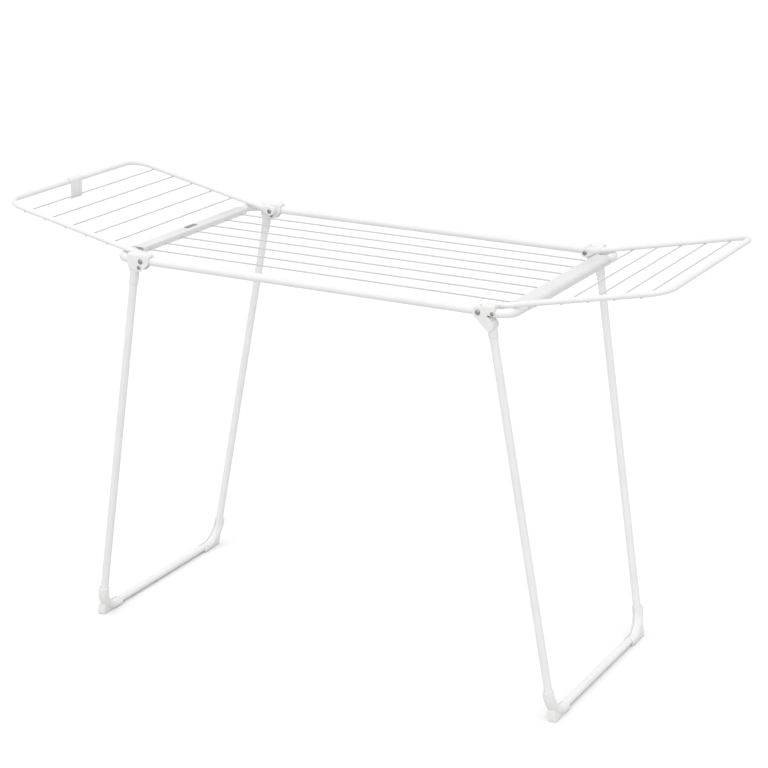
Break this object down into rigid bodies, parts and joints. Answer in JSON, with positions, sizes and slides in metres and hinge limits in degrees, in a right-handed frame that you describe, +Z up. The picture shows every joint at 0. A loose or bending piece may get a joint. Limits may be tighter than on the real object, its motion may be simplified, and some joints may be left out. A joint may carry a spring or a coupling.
{
  "type": "folding clothes drying rack",
  "caption": "Folding clothes drying rack: a wired deck on two splayed leg frames, with a wired wing hinged at each end and a hook clip that keeps it shut.",
  "frame": {"origin": "on the floor, under the middle of the rack", "axes": "+X along the rack towards the right wing, +Y across it towards the back, +Z up"},
  "size_m": [1.5788, 0.5844, 0.964],
  "materials": {
    "tube_coating": "white powder coat, satin",
    "carrier_coating": "white powder coat over pressed steel strip, satin",
    "wire_coating": "white plastic-coated steel wire, satin",
    "hinge_plastic": "white moulded plastic, fine matt grain",
    "foot_plastic": "white moulded plastic, matt, slightly scuffed soles",
    "clip_plastic": "white moulded plastic, smooth",
    "rivet_metal": "bright plated steel rivet heads",
    "label_film": "plain dark film with no lettering"
  },
  "bodies": {
    "deck": {"deck_frame": "tube_coating", "wire_carrier_left": "carrier_coating", "wire_carrier_right": "carrier_coating", "deck_wire_1": "wire_coating", "deck_wire_2": "wire_coating", "deck_wire_3": "wire_coating", "deck_wire_4": "wire_coating", "deck_wire_5": "wire_coating", "deck_wire_6": "wire_coating", "deck_wire_7": "wire_coating", "blank_label": "label_film", "rail_saddle_left_front": "hinge_plastic", "rail_saddle_left_back": "hinge_plastic", "rail_saddle_right_front": "hinge_plastic", "rail_saddle_right_back": "hinge_plastic", "wing_rivet_left_front": "rivet_metal", "wing_rivet_left_back": "rivet_metal", "wing_rivet_right_front": "rivet_metal", "wing_rivet_right_back": "rivet_metal", "leg_rivet_left_front": "rivet_metal", "leg_rivet_left_back": "rivet_metal", "saddle_rivet_right_front": "rivet_metal", "saddle_rivet_right_back": "rivet_metal"},
    "left_leg": {"leg_frame_left": "tube_coating", "leg_knuckle_left_front": "hinge_plastic", "leg_knuckle_left_back": "hinge_plastic", "foot_left_front": "foot_plastic", "foot_left_back": "foot_plastic"},
    "right_leg": {"leg_frame_right": "tube_coating", "leg_knuckle_right_front": "hinge_plastic", "leg_knuckle_right_back": "hinge_plastic", "foot_right_front": "foot_plastic", "foot_right_back": "foot_plastic"},
    "left_wing": {"wing_frame_left": "tube_coating", "wing_wire_left_1": "wire_coating", "wing_wire_left_2": "wire_coating", "wing_wire_left_3": "wire_coating", "wing_wire_left_4": "wire_coating", "wing_wire_left_5": "wire_coating", "wing_knuckle_left_front": "hinge_plastic", "wing_knuckle_left_back": "hinge_plastic"},
    "right_wing": {"wing_frame_right": "tube_coating", "wing_wire_right_1": "wire_coating", "wing_wire_right_2": "wire_coating", "wing_wire_right_3": "wire_coating", "wing_wire_right_4": "wire_coating", "wing_wire_right_5": "wire_coating", "wing_knuckle_right_front": "hinge_plastic", "wing_knuckle_right_back": "hinge_plastic"},
    "clip": {"folding_clip": "clip_plastic"}
  },
  "joints": [
    {"name": "right_leg_fold", "type": "hinge", "parent": "deck", "child": "right_leg", "pos_m": [0.402, 0, 0.873], "axis": [0, 1, 0], "range_deg": [0, 99.4]},
    {"name": "left_leg_fold", "type": "hinge", "parent": "deck", "child": "left_leg", "pos_m": [-0.4065, 0, 0.859], "axis": [0, -1, 0], "range_deg": [0, 98.2]},
    {"name": "right_wing_fold", "type": "hinge", "parent": "deck", "child": "right_wing", "pos_m": [0.402, 0, 0.873], "axis": [0, -1, 0], "range_deg": [0, 166.1]},
    {"name": "left_wing_fold", "type": "hinge", "parent": "deck", "child": "left_wing", "pos_m": [-0.402, 0, 0.873], "axis": [0, 1, 0], "range_deg": [0, 166.1]},
    {"name": "clip_swing", "type": "hinge", "parent": "left_wing", "child": "clip", "pos_m": [-0.78216, 0, 0.95547], "axis": [0, -1, 0], "range_deg": [-103, 70]}
  ]
}
